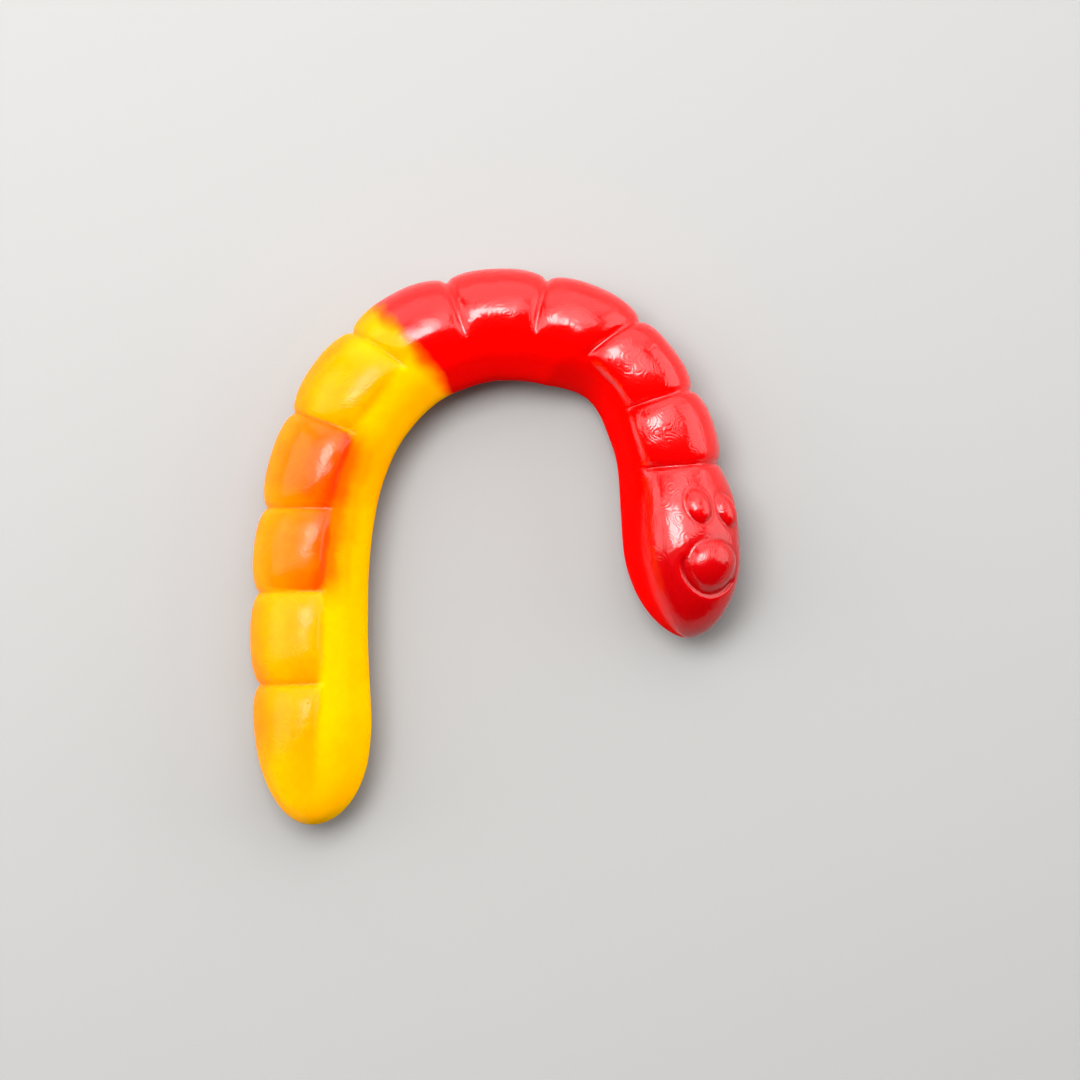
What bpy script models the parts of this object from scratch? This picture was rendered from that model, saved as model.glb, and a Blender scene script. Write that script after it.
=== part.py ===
# Gummy worm, one cast piece of gelatine, bent into an arch and lying flat.
#
# The worm was cast in an open mould: a flat back, straight sides and a domed front that
# is divided into pillows. It lies on one edge of its back, so the dome leans out of the
# arch. X runs across the arch, Y along its limbs and Z up. Units are metres.
# The origin is the middle of the worm's outline, on the surface that it lies on.
from collections import namedtuple
from math import cos, exp, hypot, pi, radians, sin, tan

import bmesh
import bpy

MM = 0.001

# The moulded sections from the tail to the head, in millimetres and degrees.
# length: along the middle of the worm
# turn:   how far the section bends to the left
# width:  across the worm as it lies, halfway along the section
# roll:   how far the dome leans out of the arch there
# slant:  how far the groove at the section's far end runs ahead on the arch's inside
# edge:   how far off the top of the dome the pillow's inner edge lies
# soft:   how far the pillow takes to fade out, to each side of that edge
# crest:  how much higher the pillow stands close to that edge
Section = namedtuple("Section", "length turn width roll slant edge soft crest")
SECTIONS = (
    Section(12.8, 5.8, 10.6, 36.0, -1.0, 41.0, 6.0, 0.25),
    Section(8.3, -5.1, 10.5, 36.0, 4.0, 53.0, 6.0, 0.25),
    Section(7.4, -7.6, 10.3, 36.0, 8.0, 53.0, 6.0, 0.25),
    Section(7.5, -15.9, 10.2, 36.0, 6.0, 53.0, 6.0, 0.25),
    Section(7.8, -25.9, 10.4, 38.0, 14.0, 53.0, 7.0, 0.15),
    Section(6.6, -27.3, 10.4, 41.0, 6.0, 50.0, 14.0, 0.0),
    Section(6.5, -19.9, 9.7, 43.0, -4.0, 45.0, 18.0, 0.0),
    Section(5.8, -21.2, 9.4, 42.0, -22.0, 49.0, 15.0, 0.0),
    Section(6.7, -32.8, 7.8, 31.0, -10.0, 58.0, 10.0, 0.45),
    Section(6.1, -17.0, 8.8, 27.0, -6.0, 61.0, 10.0, 0.40),
    Section(15.5, -9.5, 10.5, 34.0, 0.0, 70.0, 28.0, 0.0),
)
START_HEADING = 87.4

# The cast section: a round dome over straight sides and a flat back with round edges.
HALF_WIDTH_SHARE = 0.462
DOME_HEIGHT = 4.7 * MM
BACK_DEPTH = 4.0 * MM
BACK_SQUARENESS = 4.5
SOLE_PRESS = 0.35 * MM

# The round ends: how far each one tapers, seen from above and from the side.
TAIL_TAPER = 10.2 * MM
TAIL_RISE = 6.5 * MM
TAIL_ROUNDNESS = 0.50
HEAD_TAPER = 8.8 * MM
HEAD_RISE = 8.0 * MM
HEAD_ROUNDNESS = 0.58

# The pillows on the dome, and the grooves between them. The head swells like a ball.
PILLOW_HEIGHT = 0.62 * MM
PILLOW_FULLNESS = 3.0
HEAD_HEIGHT = 1.20 * MM
HEAD_FULLNESS = 2.0
PILLOW_SINK = 0.26 * MM
TAIL_SHOULDER = 3.4 * MM
HEAD_SHOULDER = 7.5 * MM
TAIL_FADE = (1.0 * MM, 9.0 * MM)
EDGE_OUTSIDE = 66.0
SOFTNESS_OUTSIDE = 14.0
HEAD_EDGE_OUTSIDE = 40.0
HEAD_SOFTNESS_OUTSIDE = 26.0
CREST_INSIDE_EDGE = 11.0
CREST_WIDTH = 22.0
CREASE_DEPTH = 0.18 * MM
CREASE_WIDTH = 0.30 * MM

# The face on the head: two eyes, a round nose and a smile that hugs it, a little askew.
# Each button has its place along the worm and round the dome, half its length and width,
# and the depth of the ditch round it.
Button = namedtuple("Button", "station angle length width height ditch")
LEFT_EYE = Button(79.15 * MM, 13.6, 1.45 * MM, 0.98 * MM, 0.60 * MM, 0.08 * MM)
RIGHT_EYE = Button(79.7 * MM, -18.5, 1.45 * MM, 0.98 * MM, 0.60 * MM, 0.08 * MM)
NOSE = Button(84.5 * MM, 7.0, 2.2 * MM, 2.05 * MM, 0.95 * MM, 0.06 * MM)
BUTTON_ROUNDNESS = 0.6
DITCH_PLACE = 1.14
DITCH_WIDTH = 0.16
SMILE_RADIUS = 2.6 * MM
SMILE_DEPTH = 0.35 * MM
SMILE_WIDTH = 0.40 * MM
SMILE_TILT = 25.0
SMILE_ENDS = (-0.1, 0.35)

# How finely the surface is divided.
COLUMNS = 40
CROWDING = 0.45
STEPS_TAIL = 10
STEPS_SECTION = 6
STEPS_HEAD = 44

Colour = namedtuple("Colour", "name rgb sections")
COLOURS = (
    Colour("yellow_gelatine", (0.96, 0.62, 0.00), (0, 1, 4)),
    Colour("orange_gelatine", (0.95, 0.28, 0.00), (2, 3)),
    Colour("red_gelatine", (0.80, 0.01, 0.01), (5, 6, 7, 8, 9, 10)),
)
GELATINE_ROUGHNESS = 0.22
GELATINE_SUBSURFACE = 0.6


def running_total(values):
    """The values added up one after the other, starting from nothing."""
    totals = [0.0]
    for value in values:
        totals.append(totals[-1] + value)
    return totals


BOUNDARIES = running_total(section.length * MM for section in SECTIONS)
HEADINGS = running_total(section.turn for section in SECTIONS)
LENGTH = BOUNDARIES[-1]
MIDDLES = [(start + end) / 2 for start, end in zip(BOUNDARIES, BOUNDARIES[1:])]
GROOVES = BOUNDARIES[1:-1]
WIDTHS = [section.width * MM for section in SECTIONS]
ROLLS = [section.roll for section in SECTIONS]
SLANTS = [0.0] + [section.slant for section in SECTIONS]
INNER_EDGES = [section.edge for section in SECTIONS]
INNER_SOFTNESSES = [section.soft for section in SECTIONS]
CRESTS = [section.crest * MM for section in SECTIONS]


def ease(low, high, value):
    """Rises smoothly from 0 at low to 1 at high."""
    share = min(max((value - low) / (high - low), 0.0), 1.0)
    return share * share * (3 - 2 * share)


def blend(station, stations, values):
    """The value at a station, eased between the stations on each side of it."""
    if station <= stations[0]:
        return values[0]
    for index in range(1, len(stations)):
        if station <= stations[index]:
            share = ease(stations[index - 1], stations[index], station)
            return values[index - 1] + (values[index] - values[index - 1]) * share
    return values[-1]


def spine(station):
    """The middle of the worm at a station and its heading: each section is one arc."""
    x = 0.0
    y = 0.0
    for index, section in enumerate(SECTIONS):
        heading = radians(START_HEADING + HEADINGS[index])
        radius = section.length * MM / radians(section.turn)
        last = index == len(SECTIONS) - 1
        here = station <= BOUNDARIES[index + 1] or last
        end = station if here else BOUNDARIES[index + 1]
        turned = heading + (end - BOUNDARIES[index]) / radius
        x += radius * (sin(turned) - sin(heading))
        y -= radius * (cos(turned) - cos(heading))
        if here:
            return x, y, turned


def back_reach(level, upright, direction):
    """How far the round edge of the back reaches, in a direction off its level half axis."""
    power = BACK_SQUARENESS / (BACK_SQUARENESS - 1)
    return ((level * cos(direction)) ** power + (upright * sin(direction)) ** power) ** (1 / power)


def taper(station, tail, head):
    """The share of its full size that the section keeps towards the round ends."""
    near_tail = max(1 - station / tail, 0.0)
    near_head = max(1 - (LENGTH - station) / head, 0.0)
    tail_share = (1 - near_tail ** 2) ** TAIL_ROUNDNESS
    head_share = (1 - near_head ** 2) ** HEAD_ROUNDNESS
    return tail_share * head_share


def smooth_radius(angle, half_width, dome, back):
    """From the section's centre to the smooth cast surface: an ellipse over a rounded box."""
    across = abs(sin(angle)) / half_width
    if cos(angle) > 0:
        return 1 / hypot(across, cos(angle) / dome)
    down = -cos(angle) / back
    return (across ** BACK_SQUARENESS + down ** BACK_SQUARENESS) ** (-1 / BACK_SQUARENESS)


def bell(value):
    """1 where the value is 0, falling away smoothly on both sides."""
    return exp(-(value ** 2))


def off_groove(ring):
    """0 in a groove and 1 halfway to the next one, or at the end of a tip's shoulder."""
    if ring <= GROOVES[0]:
        return min((GROOVES[0] - ring) / TAIL_SHOULDER, 1.0)
    if ring >= GROOVES[-1]:
        return min((ring - GROOVES[-1]) / HEAD_SHOULDER, 1.0)
    after = next(index for index, groove in enumerate(GROOVES) if groove > ring)
    length = GROOVES[after] - GROOVES[after - 1]
    return min(ring - GROOVES[after - 1], GROOVES[after] - ring) / (length / 2)


def pillow_mask(ring, angle):
    """1 on the pillows and 0 on the smooth band beside them."""
    inner_edge = blend(ring, MIDDLES, INNER_EDGES)
    inner_softness = blend(ring, MIDDLES, INNER_SOFTNESSES)
    inside = 1 - ease(inner_edge - inner_softness, inner_edge + inner_softness, angle)
    head_starts = (GROOVES[-1], GROOVES[-1] + HEAD_SHOULDER)
    outer_edge = blend(ring, head_starts, (EDGE_OUTSIDE, HEAD_EDGE_OUTSIDE))
    outer_softness = blend(ring, head_starts, (SOFTNESS_OUTSIDE, HEAD_SOFTNESS_OUTSIDE))
    outside = 1 - ease(outer_edge - outer_softness, outer_edge + outer_softness, -angle)
    return inside * outside * ease(TAIL_FADE[0], TAIL_FADE[1], ring)


def pillow_relief(ring, angle):
    """Height of the pillows over the smooth dome, with a fine crease in each groove."""
    on_head = ring > GROOVES[-1]
    height = HEAD_HEIGHT if on_head else PILLOW_HEIGHT
    fullness = HEAD_FULLNESS if on_head else PILLOW_FULLNESS
    crest_angle = blend(ring, MIDDLES, INNER_EDGES) - CREST_INSIDE_EDGE
    height += blend(ring, MIDDLES, CRESTS) * bell((angle - crest_angle) / CREST_WIDTH)
    bulge = height * (1 - (1 - off_groove(ring)) ** fullness)
    nearest = min(abs(ring - groove) for groove in GROOVES)
    crease = CREASE_DEPTH * bell(nearest / CREASE_WIDTH)
    return pillow_mask(ring, angle) * (bulge - PILLOW_SINK - crease)


def off_button(button, ring, angle, half_width):
    """How far a point lies from a button's middle, along the worm and across it."""
    return ring - button.station, radians(angle - button.angle) * half_width


def button_relief(button, ring, angle, half_width):
    """A raised oval with a shallow ditch round it."""
    along, across = off_button(button, ring, angle, half_width)
    distance = hypot(along / button.length, across / button.width)
    dome = max(1 - distance ** 2, 0.0) ** BUTTON_ROUNDNESS
    return button.height * dome - button.ditch * bell((distance - DITCH_PLACE) / DITCH_WIDTH)


def smile_relief(ring, angle, half_width):
    """The smile, pressed in round the lower side of the nose."""
    along, across = off_button(NOSE, ring, angle, half_width)
    off_smile = hypot(along, across) - SMILE_RADIUS
    under = along * cos(radians(SMILE_TILT)) + across * sin(radians(SMILE_TILT))
    under_nose = ease(SMILE_ENDS[0], SMILE_ENDS[1], under / SMILE_RADIUS)
    return -SMILE_DEPTH * under_nose * bell(off_smile / SMILE_WIDTH)


def face_relief(ring, angle, half_width):
    """The eyes and the nose stand up from the head, and the smile is pressed in."""
    buttons = (LEFT_EYE, RIGHT_EYE, NOSE)
    raised = sum(button_relief(button, ring, angle, half_width) for button in buttons)
    return raised + smile_relief(ring, angle, half_width)


def worm_point(ring, angle, at_centre=False):
    """One point of the surface, from its ring and its angle off the top of the dome."""
    roll = radians(blend(ring, MIDDLES, ROLLS))
    leaning = radians(angle) - roll
    half_width = HALF_WIDTH_SHARE * blend(ring, MIDDLES, WIDTHS)
    slant = tan(radians(blend(ring, BOUNDARIES, SLANTS)))
    station = ring + half_width * sin(leaning) * slant
    plan = taper(ring, TAIL_TAPER, HEAD_TAPER)
    profile = taper(ring, TAIL_RISE, HEAD_RISE)
    radius = 0.0
    if not at_centre:
        radius = smooth_radius(radians(angle), half_width * plan,
                               DOME_HEIGHT * profile, BACK_DEPTH * profile)
        radius += plan * pillow_relief(ring, angle)
        radius += plan * face_relief(ring, angle, half_width)
    outward = (back_reach(half_width, BACK_DEPTH, roll) - half_width) / 2
    across = radius * sin(leaning) - outward
    height = radius * cos(leaning) + back_reach(BACK_DEPTH, half_width, roll) - SOLE_PRESS
    x, y, heading = spine(station)
    return x + across * sin(heading), y - across * cos(heading), max(height, 0.0)


def ring_stations():
    """The rings along the worm, closer together at each groove and at both ends."""
    rings = []
    for index, section in enumerate(SECTIONS):
        steps = STEPS_SECTION
        if index == 0:
            steps = STEPS_TAIL
        elif index == len(SECTIONS) - 1:
            steps = STEPS_HEAD
        for step in range(steps):
            share = (1 - cos(pi * step / steps)) / 2
            rings.append(BOUNDARIES[index] + share * section.length * MM)
    return rings[1:]


def column_angles():
    """The points round a ring, in degrees off the top of the dome and closest there."""
    shares = [2 * column / COLUMNS - 1 for column in range(COLUMNS)]
    return [180 * (share * (1 - CROWDING) + share ** 3 * CROWDING) for share in shares]


def centre_on_outline(mesh):
    """Moves the middle of the worm's outline to the origin."""
    for axis in (0, 1):
        places = [vert.co[axis] for vert in mesh.verts]
        middle = (min(places) + max(places)) / 2
        for vert in mesh.verts:
            vert.co[axis] -= middle


def worm_mesh():
    """Rings of points along the worm, joined by faces and closed at each end."""
    mesh = bmesh.new()
    angles = column_angles()
    rings = []
    stations = ring_stations()
    for station in stations:
        rings.append([mesh.verts.new(worm_point(station, angle)) for angle in angles])
    tail_tip = mesh.verts.new(worm_point(0, 0, at_centre=True))
    head_tip = mesh.verts.new(worm_point(LENGTH, 0, at_centre=True))
    for column in range(COLUMNS):
        beside = (column + 1) % COLUMNS
        mesh.faces.new((tail_tip, rings[0][beside], rings[0][column]))
        mesh.faces.new((head_tip, rings[-1][column], rings[-1][beside]))
        for index, (ring, after) in enumerate(zip(rings, rings[1:])):
            face = mesh.faces.new((ring[column], ring[beside], after[beside], after[column]))
            face.material_index = colour_index(stations[index])
    for face in tail_tip.link_faces:
        face.material_index = colour_index(0)
    for face in head_tip.link_faces:
        face.material_index = colour_index(LENGTH)
    centre_on_outline(mesh)
    bmesh.ops.triangulate(mesh, faces=mesh.faces)
    bmesh.ops.recalc_face_normals(mesh, faces=mesh.faces)
    return mesh


def colour_index(station):
    """Which of the colours the worm has at a station."""
    section = sum(station >= boundary for boundary in BOUNDARIES[1:-1])
    return next(index for index, colour in enumerate(COLOURS) if section in colour.sections)


def gelatine(colour):
    """A glossy, cloudy jelly."""
    material = bpy.data.materials.new(colour.name)
    material.use_nodes = True
    shader = material.node_tree.nodes["Principled BSDF"]
    shader.inputs["Base Color"].default_value = (*colour.rgb, 1.0)
    shader.inputs["Roughness"].default_value = GELATINE_ROUGHNESS
    shader.inputs["Metallic"].default_value = 0.0
    shader.inputs["Subsurface Weight"].default_value = GELATINE_SUBSURFACE
    return material


def make_worm():
    """The whole worm as one object."""
    data = bpy.data.meshes.new("gummy_worm")
    for colour in COLOURS:
        data.materials.append(gelatine(colour))
    mesh = worm_mesh()
    mesh.to_mesh(data)
    mesh.free()
    data.shade_smooth()
    worm = bpy.data.objects.new("gummy_worm", data)
    bpy.context.scene.collection.objects.link(worm)
    return worm


for old in list(bpy.data.objects):
    bpy.data.objects.remove(old, do_unlink=True)
make_worm()
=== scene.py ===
# %% [markdown]
# # A gummy worm, bent into an arch
# The real thing is one casting of fruit gelatine, poured into an open mould: a flat back,
# straight sides, and a domed front with ten grooves and a face. This lesson gives the worm
# its fine skin and its cloudy, glossy colour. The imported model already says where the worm
# lies and how large it is, so the skin is worked out from the same few sizes and then laid
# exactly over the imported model.

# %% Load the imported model
from collections import namedtuple
from math import cos, pi, radians, sin

import bmesh
import bpy
from mathutils import Matrix, Vector


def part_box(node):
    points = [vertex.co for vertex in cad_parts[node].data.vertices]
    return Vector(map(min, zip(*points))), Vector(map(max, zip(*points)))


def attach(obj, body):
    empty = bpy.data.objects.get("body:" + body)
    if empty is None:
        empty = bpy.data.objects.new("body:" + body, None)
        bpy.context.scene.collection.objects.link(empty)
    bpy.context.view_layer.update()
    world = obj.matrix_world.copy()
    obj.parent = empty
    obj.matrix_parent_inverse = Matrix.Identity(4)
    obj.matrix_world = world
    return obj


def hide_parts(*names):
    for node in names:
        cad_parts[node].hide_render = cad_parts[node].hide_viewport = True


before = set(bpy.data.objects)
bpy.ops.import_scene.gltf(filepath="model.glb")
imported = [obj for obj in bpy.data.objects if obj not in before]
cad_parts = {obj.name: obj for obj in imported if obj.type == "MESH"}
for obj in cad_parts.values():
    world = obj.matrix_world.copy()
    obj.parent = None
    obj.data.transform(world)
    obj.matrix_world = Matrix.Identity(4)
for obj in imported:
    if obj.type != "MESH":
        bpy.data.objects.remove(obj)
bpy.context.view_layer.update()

MM = 0.001
NODE = "gummy_worm"

# %% [markdown]
# ## Writing node trees as sums
# A node tree is easier to read as a formula. A Wire stands for one output socket, and adding
# or multiplying wires adds Math nodes. The same class serves Geometry Nodes and shaders,
# since both have the Math node. Every other node comes from Graph.node.

# %% A wire and a graph
class Wire:
    """One output socket, with arithmetic."""

    def __init__(self, graph, socket):
        self.graph = graph
        self.socket = socket

    def __add__(self, other):
        return self.graph.maths("ADD", self, other)

    def __sub__(self, other):
        return self.graph.maths("SUBTRACT", self, other)

    def __mul__(self, other):
        return self.graph.maths("MULTIPLY", self, other)

    def __truediv__(self, other):
        return self.graph.maths("DIVIDE", self, other)

    def __pow__(self, other):
        return self.graph.maths("POWER", self, other)

    def __rsub__(self, other):
        return self.graph.maths("SUBTRACT", other, self)

    def __rtruediv__(self, other):
        return self.graph.maths("DIVIDE", other, self)

    def __abs__(self):
        return self.graph.maths("ABSOLUTE", self)

    def __neg__(self):
        return self * -1

    __radd__ = __add__


class Graph:
    """A node tree, and the one way in which nodes are added to it."""

    def __init__(self, tree):
        self.tree = tree

    def node(self, kind, settings=None, sockets=None):
        """Adds a node: its settings come first, then its sockets are filled or linked."""
        node = self.tree.nodes.new(kind)
        for name, value in (settings or {}).items():
            if name == "stops":
                self.set_stops(node.color_ramp, value)
            else:
                setattr(node, name, value)
        for name, value in (sockets or {}).items():
            if isinstance(value, Wire):
                self.tree.links.new(value.socket, node.inputs[name])
            else:
                node.inputs[name].default_value = value
        return node

    def set_stops(self, ramp, stops):
        """Gives a colour ramp its stops, each a place and a colour."""
        while len(ramp.elements) < len(stops):
            ramp.elements.new(1.0)
        for element, (place, colour) in zip(ramp.elements, stops):
            element.position = place
            element.color = (*colour, 1.0)

    def wire(self, kind, settings=None, sockets=None, output=0):
        """Adds a node and gives one of its outputs."""
        return Wire(self, self.node(kind, settings, sockets).outputs[output])

    def maths(self, operation, *values):
        """Adds a Math node."""
        sockets = dict(enumerate(values))
        return self.wire("ShaderNodeMath", {"operation": operation}, sockets)

    def vectors(self, operation, *values):
        """Adds a Vector Math node."""
        sockets = dict(enumerate(values))
        return self.wire("ShaderNodeVectorMath", {"operation": operation}, sockets)

    def ranged(self, settings, value, low, high, start, end):
        """Adds a Map Range node, which takes low to start and high to end."""
        return self.wire("ShaderNodeMapRange", settings, {
            "Value": value, "From Min": low, "From Max": high, "To Min": start, "To Max": end})

    def ease(self, value, low, high, start=0.0, end=1.0):
        """Goes smoothly from start to end while value goes from low to high."""
        return self.ranged({"interpolation_type": "SMOOTHSTEP"}, value, low, high, start, end)

    def ramp(self, value, low, high, start=0.0, end=1.0):
        """Goes evenly from start to end while value goes from low to high, and stops there."""
        return self.ranged({"clamp": True}, value, low, high, start, end)

    def blend(self, value, places, heights):
        """Passes through each height at its place, eased between them."""
        total = heights[0]
        for index in range(1, len(places)):
            step = heights[index] - heights[index - 1]
            total = self.ease(value, places[index - 1], places[index], 0.0, step) + total
        return total

    def bell(self, value):
        """1 where value is 0, falling away smoothly on both sides."""
        return self.maths("EXPONENT", -(value * value))


# %% [markdown]
# ## The worm's sections
# The mould has eleven sections. Each has its own length along the body, its own turn and
# its own width. The roll says how far it leans out of the arch, which is a little more at
# the crown than in the limbs, and the slant says how far the groove at its end slants.
#
# The last three numbers shape the inner edge of its pillow: where it lies round the ring,
# over how many degrees to each side it falls, and how high a shoulder rises inside it. The
# edge is crisp in the limbs, and soft at the crown, where the bend stretches it, and on the
# head. The list holds real sizes in millimetres and degrees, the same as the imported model's.

# %% Sizes of the sections
Section = namedtuple("Section", "length turn width roll slant edge softness shoulder")
SECTIONS = (
    Section(12.8, 5.8, 10.6, 36.0, -1.0, 41.0, 6.0, 0.25),
    Section(8.3, -5.1, 10.5, 36.0, 4.0, 53.0, 6.0, 0.25),
    Section(7.4, -7.6, 10.3, 36.0, 8.0, 53.0, 6.0, 0.25),
    Section(7.5, -15.9, 10.2, 36.0, 6.0, 53.0, 6.0, 0.25),
    Section(7.8, -25.9, 10.4, 38.0, 14.0, 53.0, 7.0, 0.15),
    Section(6.6, -27.3, 10.4, 41.0, 6.0, 50.0, 14.0, 0.0),
    Section(6.5, -19.9, 9.7, 43.0, -4.0, 45.0, 18.0, 0.0),
    Section(5.8, -21.2, 9.4, 42.0, -22.0, 49.0, 15.0, 0.0),
    Section(6.7, -32.8, 7.8, 31.0, -10.0, 58.0, 10.0, 0.45),
    Section(6.1, -17.0, 8.8, 27.0, -6.0, 61.0, 10.0, 0.40),
    Section(15.5, -9.5, 10.5, 34.0, 0.0, 70.0, 28.0, 0.0),
)
START_HEADING = 87.4


def running_total(values):
    """The values added up one after the other, starting from nothing."""
    totals = [0.0]
    for value in values:
        totals.append(totals[-1] + value)
    return totals


BOUNDARIES = running_total(section.length * MM for section in SECTIONS)
HEADINGS = running_total(section.turn for section in SECTIONS)
LENGTH = BOUNDARIES[-1]
MIDDLES = [(start + end) / 2 for start, end in zip(BOUNDARIES, BOUNDARIES[1:])]
GROOVES = BOUNDARIES[1:-1]
print(len(SECTIONS), "sections,", round(LENGTH / MM, 1), "mm along the body")

# %% [markdown]
# ## The spine
# A bent gelatine worm follows smooth arcs, so each section is one arc and the spine is a
# curve through points along them. Geometry Nodes can read a place and a direction anywhere
# along such a curve, which is why it is a curve and not a list kept in Python.

# %% Spine curve
SPINE_STEP = 0.2 * MM


def spine_points():
    """Points along the chain of arcs, lying in the plane of the surface."""
    points = [Vector((0.0, 0.0, 0.0))]
    for section, bearing in zip(SECTIONS, HEADINGS):
        length = section.length * MM
        heading = radians(START_HEADING + bearing)
        radius = length / radians(section.turn)
        start = points[-1].copy()
        steps = round(length / SPINE_STEP)
        for step in range(1, steps + 1):
            turned = heading + length * step / steps / radius
            across = radius * (sin(turned) - sin(heading))
            along = radius * (cos(heading) - cos(turned))
            points.append(start + Vector((across, along, 0.0)))
    return points


def curve_through(name, points):
    """A plain curve object through the points."""
    curve = bpy.data.curves.new(name, "CURVE")
    curve.dimensions = "3D"
    spline = curve.splines.new("POLY")
    spline.points.add(len(points) - 1)
    for point, place in zip(spline.points, points):
        point.co = (*place, 1.0)
    made = bpy.data.objects.new(name, curve)
    bpy.context.scene.collection.objects.link(made)
    return made


spine = curve_through("spine", spine_points())
print("spine points:", len(spine.data.splines[0].points))

# %% [markdown]
# ## The skin as a tree of Geometry Nodes
# The skin follows one rule from tail to head: a ring of points for every step along the
# spine. A flat grid is rolled up into those rings, because a grid already has its faces.
# The sizes that a maker would want to change are named inputs of the tree.

# %% Inputs of the skin
SKIN_SIZES = {
    "Dome height": 4.7 * MM,
    "Back depth": 4.0 * MM,
    "Back squareness": 4.5,
    "Half width share": 0.462,
    "Sole press": 0.35 * MM,
    "Tail taper": 10.2 * MM,
    "Tail rise": 6.5 * MM,
    "Head taper": 8.8 * MM,
    "Head rise": 8.0 * MM,
    "Pillow height": 0.62 * MM,
    "Pillow sink": 0.26 * MM,
    "Pillow fullness": 3.0,
    "Head height": 1.20 * MM,
    "Head fullness": 2.0,
    "Crease depth": 0.20 * MM,
    "Crease width": 0.25 * MM,
    "Unevenness": 0.10 * MM,
}
SKIN_COUNTS = {"Rings": 600, "Columns": 158}
SKIN_SEED = 3.0

skin = Graph(bpy.data.node_groups.new("worm_skin", "GeometryNodeTree"))
interface = skin.tree.interface
interface.new_socket("Geometry", in_out="OUTPUT", socket_type="NodeSocketGeometry")
interface.new_socket("Spine", in_out="INPUT", socket_type="NodeSocketObject")
interface.new_socket("Gelatine", in_out="INPUT", socket_type="NodeSocketMaterial")
for name in SKIN_COUNTS:
    interface.new_socket(name, in_out="INPUT", socket_type="NodeSocketInt")
for name in SKIN_SIZES:
    interface.new_socket(name, in_out="INPUT", socket_type="NodeSocketFloat")
given = {socket.name: Wire(skin, socket) for socket in skin.node("NodeGroupInput").outputs}
print("inputs of the skin:", len(given) - 1)

# %% [markdown]
# ### Where each point of the grid belongs
# Along the grid lies the worm's length, and across it the way round a ring. Rings crowd
# together at the round tips, where a ring shrinks to nothing, and columns crowd together on
# the dome, where the face and the pillows are.

# %% Station and angle
GRID_SIDE = 1.0
TIP_SHARE = 0.06
CROWDING = 0.45
CROWDING_POWER = 3.0
HALF_TURN = 180.0

grid = skin.wire("GeometryNodeMeshGrid", sockets={
    "Size X": GRID_SIDE, "Size Y": GRID_SIDE,
    "Vertices X": given["Rings"], "Vertices Y": given["Columns"]})
corner = skin.node("ShaderNodeSeparateXYZ", sockets={0: skin.wire("GeometryNodeInputPosition")})
step_along = Wire(skin, corner.outputs["X"]) + GRID_SIDE / 2
step_round = Wire(skin, corner.outputs["Y"]) * (2 / GRID_SIDE)
before_tip = skin.maths("MAXIMUM", TIP_SHARE - step_along, 0.0)
after_tip = skin.maths("MAXIMUM", step_along - (1 - TIP_SHARE), 0.0)
crowded = step_along - TIP_SHARE / 2 + (before_tip ** 2.0 - after_tip ** 2.0) / (2 * TIP_SHARE)
ring = crowded * (LENGTH / (1 - TIP_SHARE))
turned_round = step_round * (1 - CROWDING) + step_round ** CROWDING_POWER * CROWDING
degrees = turned_round * HALF_TURN
angle = degrees * (pi / HALF_TURN)
print(SKIN_COUNTS["Rings"], "rings of", SKIN_COUNTS["Columns"], "points")

# %% [markdown]
# ### The cast section
# Seen end on, the casting is half an ellipse on a box with round corners. Both are the same
# formula with another power, so one formula serves: a power of two above the widest place,
# and a higher one below it. Tapers shrink it towards the tips.

# %% Section of the casting
ROUND_POWER = 2.0
SMALLEST_SHARE = 1e-4
TAIL_ROUNDNESS = 0.50
HEAD_ROUNDNESS = 0.58


def taper(tail, head):
    """The share of its full size that a ring keeps towards the two tips."""
    near_tail = skin.maths("MAXIMUM", 1 - ring / tail, 0.0)
    near_head = skin.maths("MAXIMUM", 1 - (LENGTH - ring) / head, 0.0)
    tail_share = (1 - near_tail ** 2.0) ** TAIL_ROUNDNESS
    head_share = (1 - near_head ** 2.0) ** HEAD_ROUNDNESS
    return skin.maths("MAXIMUM", tail_share * head_share, SMALLEST_SHARE)


plan = taper(given["Tail taper"], given["Head taper"])
profile = taper(given["Tail rise"], given["Head rise"])
widths = [section.width * MM for section in SECTIONS]
half_width = skin.blend(ring, MIDDLES, widths) * given["Half width share"]
roll = skin.blend(ring, MIDDLES, [radians(section.roll) for section in SECTIONS])
slant = skin.blend(ring, BOUNDARIES, [0.0] + [radians(section.slant) for section in SECTIONS])

sideways = skin.maths("SINE", angle)
upwards = skin.maths("COSINE", angle)
on_dome = skin.maths("GREATER_THAN", upwards, 0.0)
power = given["Back squareness"] + on_dome * (ROUND_POWER - given["Back squareness"])
upright = given["Back depth"] + on_dome * (given["Dome height"] - given["Back depth"])
side_term = (abs(sideways) / (half_width * plan)) ** power
up_term = (abs(upwards) / (upright * profile)) ** power
smooth_radius = (side_term + up_term) ** (-1.0 / power)
print("widest:", round(2 * SKIN_SIZES["Half width share"] * max(widths) / MM, 1), "mm")

# %% [markdown]
# ### Pillows and grooves
# Counting the sections along the worm, with a fraction for the part of a section, makes
# every groove a whole number. How far the count is from the nearest whole number then gives
# the swelling of a pillow. The head swells further and over a longer way, like a ball. The
# fine crease in each groove has the same width everywhere, so it goes by the distance from
# the nearest groove instead.
#
# Round the ring, a pillow lies between its inner and its outer edge, and a low shoulder may
# rise just inside the inner one. On the head the outer edge moves in and grows softer.

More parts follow.
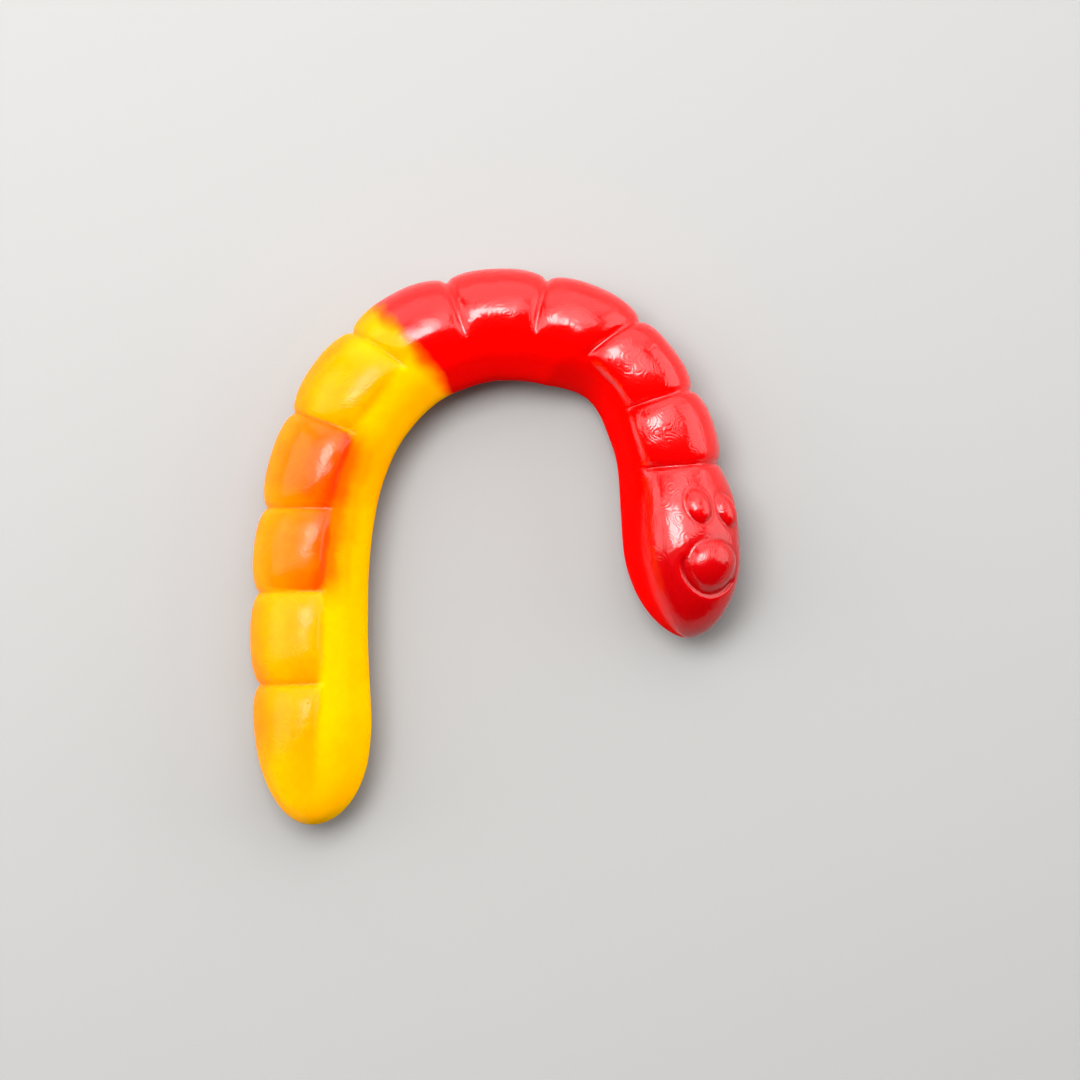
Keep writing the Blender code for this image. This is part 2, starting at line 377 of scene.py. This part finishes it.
# %% Relief of the pillows
TAIL_SHOULDER = 3.4 * MM
HEAD_SHOULDER = 7.5 * MM
EDGE_OUTSIDE = 66.0
EDGE_OUTSIDE_HEAD = 40.0
SOFTNESS_OUTSIDE = 14.0
SOFTNESS_OUTSIDE_HEAD = 26.0
SHOULDER_INSIDE_EDGE = 11.0
SHOULDER_WIDTH = 22.0
TAIL_FADE = (1.0 * MM, 9.0 * MM)
MID_PILLOW = 0.5

count = skin.ramp(ring, GROOVES[0] - TAIL_SHOULDER, GROOVES[0], MID_PILLOW, 1.0)
for start, end in zip(GROOVES, GROOVES[1:]):
    count = count + skin.ramp(ring, start, end)
count = count + skin.ramp(ring, GROOVES[-1], GROOVES[-1] + HEAD_SHOULDER, 0.0, MID_PILLOW)
off_groove = 1 - abs(skin.maths("FRACT", count) * 2.0 - 1)
to_groove = abs(ring - GROOVES[0])
for groove in GROOVES[1:]:
    to_groove = skin.maths("MINIMUM", to_groove, abs(ring - groove))

inner_edge = skin.blend(ring, MIDDLES, [section.edge for section in SECTIONS])
softness = skin.blend(ring, MIDDLES, [section.softness for section in SECTIONS])
inside = skin.ease((degrees - inner_edge) / softness, -1.0, 1.0, 1.0, 0.0)
into_head = skin.ease(ring, GROOVES[-1], GROOVES[-1] + HEAD_SHOULDER)
outer_edge = into_head * (EDGE_OUTSIDE_HEAD - EDGE_OUTSIDE) + EDGE_OUTSIDE
outer_softness = into_head * (SOFTNESS_OUTSIDE_HEAD - SOFTNESS_OUTSIDE) + SOFTNESS_OUTSIDE
outside = skin.ease((degrees + outer_edge) / outer_softness, -1.0, 1.0)
pillow = inside * outside * skin.ease(ring, *TAIL_FADE)

on_head = skin.maths("GREATER_THAN", ring, GROOVES[-1])
fullness = given["Pillow fullness"] + on_head * (given["Head fullness"] - given["Pillow fullness"])
swelling = given["Pillow height"] + on_head * (given["Head height"] - given["Pillow height"])
shoulder_height = skin.blend(ring, MIDDLES, [section.shoulder * MM for section in SECTIONS])
shoulder_angle = inner_edge - SHOULDER_INSIDE_EDGE
shoulder = shoulder_height * skin.bell((degrees - shoulder_angle) / SHOULDER_WIDTH)
bulge = (swelling + shoulder) * (1 - (1 - off_groove) ** fullness)
crease = given["Crease depth"] * skin.bell(to_groove / given["Crease width"])
pillow_relief = pillow * (bulge - given["Pillow sink"] - crease)
print("grooves at", [round(groove / MM, 1) for groove in GROOVES], "mm along the body")

# %% [markdown]
# ### The face
# The mould presses two eyes, a round nose and a smile into the head. Each eye and the nose
# is a smooth bump in a shallow ring, whose height depends only on the distance from its
# middle, measured on the dome. The smile is a ditch that keeps one distance from the middle
# of the nose and fades at its ends.

# %% Relief of the face
Button = namedtuple("Button", "station angle length width height ditch")
EYES = (
    Button(79.15 * MM, 13.6, 1.45 * MM, 0.98 * MM, 0.60 * MM, 0.08 * MM),
    Button(79.7 * MM, -18.5, 1.45 * MM, 0.98 * MM, 0.60 * MM, 0.08 * MM),
)
NOSE = Button(84.5 * MM, 7.0, 2.2 * MM, 2.05 * MM, 0.95 * MM, 0.06 * MM)
BUTTON_ROUNDNESS = 0.6
DITCH_PLACE = 1.14
DITCH_WIDTH = 0.12
SMILE_RADIUS = 2.6 * MM
SMILE_DEPTH = 0.35 * MM
SMILE_WIDTH = 0.22 * MM
SMILE_TILT = radians(25.0)
SMILE_ENDS = (-0.1, 0.35)


def away(along, across):
    """The distance from a middle, from the distances along and across the worm."""
    return skin.maths("SQRT", along * along + across * across)


def button_relief(button):
    """A raised oval with a ditch round it."""
    along = (ring - button.station) / button.length
    across = (degrees - button.angle) * (pi / HALF_TURN) * half_width / button.width
    distance = away(along, across)
    dome = skin.maths("MAXIMUM", 1 - distance * distance, 0.0) ** BUTTON_ROUNDNESS
    ditch = skin.bell((distance - DITCH_PLACE) / DITCH_WIDTH)
    return dome * button.height - ditch * button.ditch


face = button_relief(NOSE)
for eye in EYES:
    face = face + button_relief(eye)
below = ring - NOSE.station
beside = (degrees - NOSE.angle) * (pi / HALF_TURN) * half_width
off_smile = away(below, beside) - SMILE_RADIUS
under = below * cos(SMILE_TILT) + beside * sin(SMILE_TILT)
under_nose = skin.ease(under / SMILE_RADIUS, *SMILE_ENDS)
face = face - skin.bell(off_smile / SMILE_WIDTH) * under_nose * SMILE_DEPTH
print("the nose lies", round((LENGTH - NOSE.station) / MM, 1), "mm before the head's tip")

# %% [markdown]
# ### Into place
# A ring is turned by the roll, so that the dome leans out of the arch, and it is set down
# on the outer edge of the flat back. It also slants a little, as the grooves do: where the
# slant is positive, its inner side lies further along the spine than its outer side.

# %% Places of the points
UNEVEN_CELLS = 220.0
UNEVEN_DETAIL = 1.0
NOISE_MIDDLE = 0.5


def back_reach(level, upright_size):
    """How far the round edge of the back reaches, once it is rolled."""
    inverse = given["Back squareness"] / (given["Back squareness"] - 1)
    level_term = (level * skin.maths("COSINE", roll)) ** inverse
    upright_term = (upright_size * skin.maths("SINE", roll)) ** inverse
    return (level_term + upright_term) ** (1 / inverse)


leaning = angle - roll
lateral = half_width * skin.maths("SINE", leaning)
station = ring + lateral * skin.maths("TANGENT", slant)
path = skin.node("GeometryNodeObjectInfo", sockets={"Object": given["Spine"]})
sample = skin.node("GeometryNodeSampleCurve", {"mode": "LENGTH"}, {
    "Curves": Wire(skin, path.outputs["Geometry"]), "Length": station})
heading = skin.node("ShaderNodeSeparateXYZ", sockets={0: Wire(skin, sample.outputs["Tangent"])})
inward = skin.wire("ShaderNodeCombineXYZ", sockets={
    "X": Wire(skin, heading.outputs["Y"]), "Y": -Wire(skin, heading.outputs["X"])})

smooth_place = skin.wire("ShaderNodeCombineXYZ", sockets={
    "X": ring, "Y": smooth_radius * sideways, "Z": smooth_radius * upwards})
uneven = skin.wire("ShaderNodeTexNoise", {"noise_dimensions": "4D"}, {
    "Vector": smooth_place, "W": SKIN_SEED,
    "Scale": UNEVEN_CELLS, "Detail": UNEVEN_DETAIL}) - NOISE_MIDDLE
radius = smooth_radius + plan * (pillow_relief + face + uneven * given["Unevenness"])
outward = (back_reach(half_width, given["Back depth"]) - half_width) / 2.0
across = radius * skin.maths("SINE", leaning) - outward
sole = back_reach(given["Back depth"], half_width) - given["Sole press"]
height = skin.maths("MAXIMUM", radius * skin.maths("COSINE", leaning) + sole, 0.0)
level_place = skin.vectors("MULTIPLY_ADD", inward, skin.wire("ShaderNodeCombineXYZ", sockets={
    "X": across, "Y": across, "Z": across}), Wire(skin, sample.outputs["Position"]))
place = skin.vectors("ADD", level_place, skin.wire("ShaderNodeCombineXYZ", sockets={"Z": height}))
print("nodes up to the places:", len(skin.tree.nodes))

# %% [markdown]
# ### Closing the skin
# The grid's long sides meet along the back, and its short sides shrink to the tips, so one
# merge closes the skin. What the colours need, such as how far along the worm a point is,
# is kept as attributes before the grid is rolled up, while the formulas still read it.

# %% Attributes, faces and finish of the skin
MERGE = 0.002 * MM
ATTRIBUTES = {"station": station, "inward": lateral / half_width, "pillow": pillow}

geometry = grid
for name, value in ATTRIBUTES.items():
    geometry = skin.wire("GeometryNodeStoreNamedAttribute", sockets={
        "Geometry": geometry, "Name": name, "Value": value})
geometry = skin.wire("GeometryNodeSetPosition", sockets={"Geometry": geometry, "Position": place})
geometry = skin.wire("GeometryNodeMergeByDistance", sockets={
    "Geometry": geometry, "Distance": MERGE})
geometry = skin.wire("GeometryNodeSetShadeSmooth", sockets={"Geometry": geometry})
geometry = skin.wire("GeometryNodeRealizeInstances", sockets={"Geometry": geometry})
geometry = skin.wire("GeometryNodeSetMaterial", sockets={
    "Geometry": geometry, "Material": given["Gelatine"]})
skin.node("NodeGroupOutput", sockets={"Geometry": geometry})
print("nodes in the skin:", len(skin.tree.nodes))

# %% [markdown]
# ## Gelatine
# Light enters fruit gelatine, wanders about inside and comes out coloured, so the shader is
# a subsurface one with a long reach for red and a short one for blue. The yellow and the red
# were poured one after the other, and two pillows of the yellow limb carry a dash of orange.
# The colours are painted by the place on the worm, which the skin carries as attributes, and
# one number, the flavour, runs from yellow at 0 over orange to red. The flavour also carries
# a painted shade of deeper amber.

# %% Readings from the skin
gelatine = bpy.data.materials.new("fruit_gelatine")
gelatine.use_nodes = True
paint = Graph(gelatine.node_tree)
paint.tree.nodes.clear()
body = paint.wire("ShaderNodeTexCoord", output="Object")


def attribute(name):
    """A value that the skin carries."""
    return paint.wire("ShaderNodeAttribute", {"attribute_name": name}, output="Fac")


def noise(scale, detail=1.0):
    """Soft random swelling about nothing, with the given number of cells in a metre."""
    return paint.wire("ShaderNodeTexNoise", sockets={
        "Vector": body, "Scale": scale, "Detail": detail}) - NOISE_MIDDLE


WOBBLE_CELLS = 260.0
CLOUD_CELLS = 190.0
FINER_DETAIL = 2.0

side = attribute("inward")
on_pillow = attribute("pillow")
station_here = attribute("station")
wobble = noise(WOBBLE_CELLS, FINER_DETAIL)
clouds = noise(CLOUD_CELLS, FINER_DETAIL)
print("the colours wobble over", round(1 / WOBBLE_CELLS / MM, 1), "mm")

# %% [markdown]
# ### Where the colours meet
# Two pours mix where they meet, so the red begins along a slanting, wavering line, earlier
# on the outside of the bend than on its inside. The dash of orange covers two pillows up to
# their grooves and ends there sharply. On the smooth side of the limb it ends gently, and
# it fades across that side. Across the worm, places run from -1 on the outer side to 1 on
# the inner side. The yellow turns amber in slow clouds, its own uneven tone. On the pillows
# and along the outer rim it is painted a deeper amber, which is painted shade.

# %% Flavour
RED_OUTSIDE = 44.6 * MM
RED_INSIDE = 47.0 * MM
RED_MIX = 1.5 * MM
DASH_START = GROOVES[1]
DASH_END = GROOVES[3]
DASH_EDGE = 0.35 * MM
DASH_EDGE_ON_BAND = 2.2 * MM
DASH_PLACES = (-1.0, -0.55, 0.0, 0.30, 0.46, 0.72, 0.90)
DASH_STRENGTHS = (0.28, 0.38, 0.46, 0.60, 0.44, 0.16, 0.0)
DASH_WOBBLE = 0.35
DASH_DEEPER = 0.08
DASH_DEEPER_FROM = GROOVES[2]
DASH_DEEPER_OVER = 2 * MM
# Painted shade: how much deeper amber the pillows and the outer rim get.
AMBER_SHADE_ON_PILLOWS = 0.21
AMBER_SHADE_OUTSIDE = 0.12
AMBER_CLOUDS = 0.24
SLOW_WOBBLE = 2.4 * MM
SHARP_WOBBLE = 0.8 * MM
OUTER_RIM = (-0.55, -0.95)

poured = station_here + wobble * SLOW_WOBBLE
red_line = RED_OUTSIDE + (side + 1) * ((RED_INSIDE - RED_OUTSIDE) / 2)
redness = paint.ease(poured - red_line, -RED_MIX, RED_MIX)

wavering = station_here + wobble * SHARP_WOBBLE
dash_edge = DASH_EDGE_ON_BAND + on_pillow * (DASH_EDGE - DASH_EDGE_ON_BAND)
dash_ends = (paint.ease((wavering - DASH_START) / dash_edge, -1.0, 1.0)
             * paint.ease((wavering - DASH_END) / dash_edge, -1.0, 1.0, 1.0, 0.0))
dash_across = paint.blend(side + wobble * DASH_WOBBLE, DASH_PLACES, DASH_STRENGTHS)
deeper = paint.ease(station_here, DASH_DEEPER_FROM, DASH_DEEPER_FROM + DASH_DEEPER_OVER)
dash = dash_ends * (dash_across + deeper * DASH_DEEPER)
# Painted shade: deeper amber on the pillows and along the outer rim; the clouds are the yellow's
# own uneven tone.
amber_shade = on_pillow * AMBER_SHADE_ON_PILLOWS + paint.ease(side, *OUTER_RIM) * AMBER_SHADE_OUTSIDE
amber_shade_and_clouds = amber_shade + clouds * AMBER_CLOUDS
# The flavour also carries the painted amber shade.
flavour_and_shade = paint.maths("MAXIMUM", redness, paint.maths("MAXIMUM", dash, amber_shade_and_clouds))
print("the red starts", round(RED_OUTSIDE / MM, 1), "to", round(RED_INSIDE / MM, 1), "mm along")

# %% [markdown]
# ### Colour
# Yellow gelatine is never green and red gelatine never blue, so the ramp keeps the blue out
# of the yellow and only lets a little of it into the darker red on the head. That darker red
# is painted shade, laid where the worm is thickest, over the head but not its inner side.
# From the flavour of red upwards the colour stays the same. A Mix node has its colours at
# the sockets 6 and 7, and gives the mixed colour at its output 2.

# %% Base colour
YELLOW = (0.90, 0.365, 0.0)
ORANGE = (0.86, 0.090, 0.0)
RED = (0.60, 0.0005, 0.0002)
# Painted shade: the darker red laid over the head.
SHADE_RED = (0.38, 0.0005, 0.0015)
FLAVOUR_OF_ORANGE = 0.5
FLAVOUR_OF_RED = 0.8
SHADE_STATIONS = (GROOVES[-1] - 6 * MM, GROOVES[-1] + 8 * MM)
SHADE_SIDE = (0.80, 0.30)

hue = paint.wire("ShaderNodeValToRGB", {"stops": [
    (0.0, YELLOW), (FLAVOUR_OF_ORANGE, ORANGE), (FLAVOUR_OF_RED, RED)]}, {"Fac": flavour_and_shade})
# Painted shade: darker red over the head, fading out towards its inner side.
painted_shade = paint.ease(station_here, *SHADE_STATIONS) * paint.ease(side, *SHADE_SIDE)
colour = paint.wire("ShaderNodeMix", {"data_type": "RGBA"}, {
    0: painted_shade, 6: hue, 7: (*SHADE_RED, 1.0)}, output=2)
print("flavours: yellow 0, orange", FLAVOUR_OF_ORANGE, "and red", FLAVOUR_OF_RED)

# %% [markdown]
# ### Skin
# The gelatine dried against the starch of the mould, which left fine wrinkles. They are far
# too small for the mesh and only show in the highlights, so they are bump: contour lines of
# a slow noise for the wrinkles that run round each highlight, a fine grain on top, and here
# and there a speck, which is a bubble that came to rest under the skin.
#
# Two gelatines that differ only in their gloss are mixed. The gloss hardly shows on bright
# yellow, and it shows least on the smooth band along the inner side, which would otherwise
# mirror the pale floor. So the share of the glossy one follows the colour and the side.

# %% Wrinkles and shader
WRINKLE_CELLS = 420.0
WRINKLE_LINES = 100.0
WRINKLE_DEPTH = 0.004 * MM
GRAIN_CELLS = 3000.0
GRAIN_DEPTH = 0.008 * MM
SPECK_CELLS = 600.0
SPECK_SIZE = 0.10
SPECK_SHARE = 0.22
SPECK_HEIGHT = 0.06 * MM
SHEEN_ON_YELLOW = 0.20
SHEEN_POWER = 3.0
SHEEN_ON_BAND = 0.04
BAND_EDGE = (0.50, 0.05)
OUTER_SIDE = (0.10, -0.10)
SCATTER_REACH = 2.2 * MM
SCATTER_COLOURS = (1.0, 0.45, 0.12)
SKIN_ROUGHNESS = 0.16
SKIN_INDEX = 1.47
FULL_GLOSS = 0.5

wrinkles = paint.maths("SINE", noise(WRINKLE_CELLS) * WRINKLE_LINES)
grain = noise(GRAIN_CELLS, FINER_DETAIL)
cells = paint.node("ShaderNodeTexVoronoi", sockets={"Vector": body, "Scale": SPECK_CELLS})
near_speck = paint.ease(Wire(paint, cells.outputs["Distance"]), SPECK_SIZE, 0.0)
chance = paint.wire("ShaderNodeSeparateColor", sockets={
    "Color": Wire(paint, cells.outputs["Color"])}, output="Red")
specks = near_speck * paint.maths("LESS_THAN", chance, SPECK_SHARE)
relief = wrinkles * WRINKLE_DEPTH + grain * GRAIN_DEPTH + specks * SPECK_HEIGHT
bump = paint.wire("ShaderNodeBump", sockets={"Strength": 1.0, "Distance": 1.0, "Height": relief})


def gelatine_shader(gloss):
    """Cloudy gelatine with the given gloss."""
    return paint.wire("ShaderNodeBsdfPrincipled", {"subsurface_method": "RANDOM_WALK"}, {
        "Base Color": colour, "Roughness": SKIN_ROUGHNESS, "Normal": bump,
        "Subsurface Weight": 1.0, "Subsurface Radius": SCATTER_COLOURS,
        "Subsurface Scale": SCATTER_REACH, "IOR": SKIN_INDEX, "Specular IOR Level": gloss})


towards_red = paint.ramp(flavour_and_shade, 0.0, FLAVOUR_OF_RED) ** SHEEN_POWER
sheen_by_colour = towards_red * (1 - SHEEN_ON_YELLOW) + SHEEN_ON_YELLOW
off_band = paint.ease(on_pillow, *BAND_EDGE, 1.0, SHEEN_ON_BAND)
sheen_by_side = paint.maths("MAXIMUM", off_band, paint.ease(side, *OUTER_SIDE))
shader = paint.wire("ShaderNodeMixShader", sockets={
    "Fac": sheen_by_colour * sheen_by_side,
    1: gelatine_shader(0.0), 2: gelatine_shader(FULL_GLOSS)})
paint.node("ShaderNodeOutputMaterial", sockets={"Surface": shader})
print("nodes in the material:", len(paint.tree.nodes))

# %% [markdown]
# ## The skin becomes a plain mesh
# The modifier's inputs are set by their identifiers before the object is first worked out.
# The result is then copied into a plain mesh, and the modifier is removed.

# %% Skin mesh
def grown_from(graph, name, values):
    """A plain mesh object from a geometry tree and the values of its inputs."""
    seed = bpy.data.objects.new(name, bpy.data.meshes.new(name))
    bpy.context.scene.collection.objects.link(seed)
    modifier = seed.modifiers.new(name, "NODES")
    modifier.node_group = graph.tree
    for item in graph.tree.interface.items_tree:
        if item.in_out == "INPUT":
            modifier[item.identifier] = values[item.name]
    depsgraph = bpy.context.evaluated_depsgraph_get()
    made = bpy.data.meshes.new_from_object(seed.evaluated_get(depsgraph))
    seed.modifiers.remove(modifier)
    seed.data = made
    made.name = name
    return seed


def face_outwards(mesh):
    """Makes every face point out of the closed mesh and says what the mesh measures."""
    shell = bmesh.new()
    shell.from_mesh(mesh)
    bmesh.ops.recalc_face_normals(shell, faces=shell.faces)
    open_edges = sum(not edge.is_manifold for edge in shell.edges)
    volume = shell.calc_volume()
    shell.to_mesh(mesh)
    shell.free()
    return open_edges, volume


worm = grown_from(skin, "worm_skin", {"Spine": spine, "Gelatine": gelatine,
                                      **SKIN_COUNTS, **SKIN_SIZES})
open_edges, volume = face_outwards(worm.data)
node_low, node_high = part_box(NODE)
print("skin:", len(worm.data.polygons), "faces,", open_edges, "open edges,",
      round(volume / MM ** 3), "cubic mm")

# %% [markdown]
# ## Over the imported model
# The skin starts at the tail's tip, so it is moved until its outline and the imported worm's
# share one middle. It already rests on the surface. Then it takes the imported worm's place,
# and the spine, which has done its work, goes.

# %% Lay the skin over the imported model
corners = [vertex.co for vertex in worm.data.vertices]
shift = Vector((0.0, 0.0, 0.0))
for axis in (0, 1):
    middle = (min(co[axis] for co in corners) + max(co[axis] for co in corners)) / 2
    shift[axis] = (node_low[axis] + node_high[axis]) / 2 - middle
worm.data.transform(Matrix.Translation(shift))
bpy.data.objects.remove(spine)
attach(worm, "root")
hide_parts(NODE)
print("skin moved by", [round(step / MM, 2) for step in shift], "mm")

# %% [markdown]
# ## Floor
# The worm lies on a plain pale floor, so that its soft shadow shows where it touches.

# %% Floor
FLOOR_SIZE = 2.4
FLOOR_COLOUR = (0.24, 0.238, 0.232)
FLOOR_ROUGHNESS = 0.6

floor_mesh = bpy.data.meshes.new("floor")
half = FLOOR_SIZE / 2
floor_mesh.from_pydata([(-half, -half, 0), (half, -half, 0), (half, half, 0), (-half, half, 0)],
                       [], [(0, 1, 2, 3)])
floor = bpy.data.objects.new("floor", floor_mesh)
bpy.context.scene.collection.objects.link(floor)
floor_paint = bpy.data.materials.new("floor_paint")
floor_paint.use_nodes = True
floor_shader = floor_paint.node_tree.nodes["Principled BSDF"]
floor_shader.inputs["Base Color"].default_value = (*FLOOR_COLOUR, 1.0)
floor_shader.inputs["Roughness"].default_value = FLOOR_ROUGHNESS
floor_mesh.materials.append(floor_paint)
print("floor:", FLOOR_SIZE, "m square")

# %% [markdown]
# ## Lamps
# A large soft panel hangs over the worm, and its straight near edge is almost overhead. The
# pillows mirror the panel as a pale sheen that ends in that edge. A second panel under it
# makes the middle of the sheen brighter, and a small bright one in front gives each pillow
# its highlight. Three upright panels light the outer sides. No two panels share a plane,
# since a mirrored ray would then meet only one of them. Places and sizes are in metres.

# %% Lamps
Lamp = namedtuple("Lamp", "name place size bearing tilt brightness")
LAMPS = (
    Lamp("ceiling", (-0.095, 0.228, 0.50), (0.90, 0.46), 20.0, 0.0, 2.6),
    Lamp("bright_middle", (0.019, 0.211, 0.48), (0.384, 0.25), 20.0, 0.0, 0.8),
    Lamp("spot", (-0.100, 0.118, 0.46), (0.25, 0.20), 20.0, 0.0, 13.0),
    Lamp("beyond_crown", (0.02, 0.46, 0.23), (0.80, 0.46), 0.0, 90.0, 1.7),
    Lamp("beyond_head", (0.46, 0.20, 0.23), (0.52, 0.46), -90.0, 90.0, 2.4),
    Lamp("beyond_tail", (-0.55, 0.17, 0.28), (0.56, 0.40), 90.0, 90.0, 2.4),
)
WORLD_LIGHT = 0.24
WORLD_COLOUR = (1.0, 1.0, 1.0)
WATTS_FOR_BRIGHTNESS = 4


def hang(lamp):
    """A flat panel that shines down, or sideways once it is tilted.

    Its watts go by its area, so that two panels of one brightness look equally bright.
    """
    light = bpy.data.lights.new(lamp.name, "AREA")
    light.shape = "RECTANGLE"
    light.size, light.size_y = lamp.size
    light.energy = WATTS_FOR_BRIGHTNESS * lamp.brightness * lamp.size[0] * lamp.size[1]
    made = bpy.data.objects.new(lamp.name, light)
    made.location = lamp.place
    made.rotation_euler = (radians(-lamp.tilt), 0.0, radians(lamp.bearing))
    bpy.context.scene.collection.objects.link(made)


for lamp in LAMPS:
    hang(lamp)
world = bpy.data.worlds.new("studio")
world.use_nodes = True
background = world.node_tree.nodes["Background"]
background.inputs["Strength"].default_value = WORLD_LIGHT
background.inputs["Color"].default_value = (*WORLD_COLOUR, 1.0)
world.cycles_visibility.glossy = False
bpy.context.scene.world = world
bpy.context.scene.view_settings.view_transform = "Standard"
print("lamps:", ", ".join(lamp.name for lamp in LAMPS))

# %% [markdown]
# ## Camera
# The camera looks straight down, as the worm's shown side faces up. Its picture is as many
# pixels wide as the photo, and at the level of the worm each pixel measures 0.09 mm. The
# outline's middle says over which pixel the origin lies.

# %% Camera
PHOTO_SIDE = 1080
PIXEL = 0.09 * MM
OUTLINE_MIDDLE = (495.0, 546.5)
CAMERA_HEIGHT = 0.45
WORM_LEVEL = 5 * MM

lens = bpy.data.cameras.new("camera")
lens.lens = lens.sensor_width * (CAMERA_HEIGHT - WORM_LEVEL) / (PHOTO_SIDE * PIXEL)
camera = bpy.data.objects.new("camera", lens)
camera.location = ((PHOTO_SIDE / 2 - OUTLINE_MIDDLE[0]) * PIXEL,
                   (OUTLINE_MIDDLE[1] - PHOTO_SIDE / 2) * PIXEL, CAMERA_HEIGHT)
bpy.context.scene.collection.objects.link(camera)
bpy.context.scene.camera = camera
print("focal length:", round(lens.lens, 1), "mm")
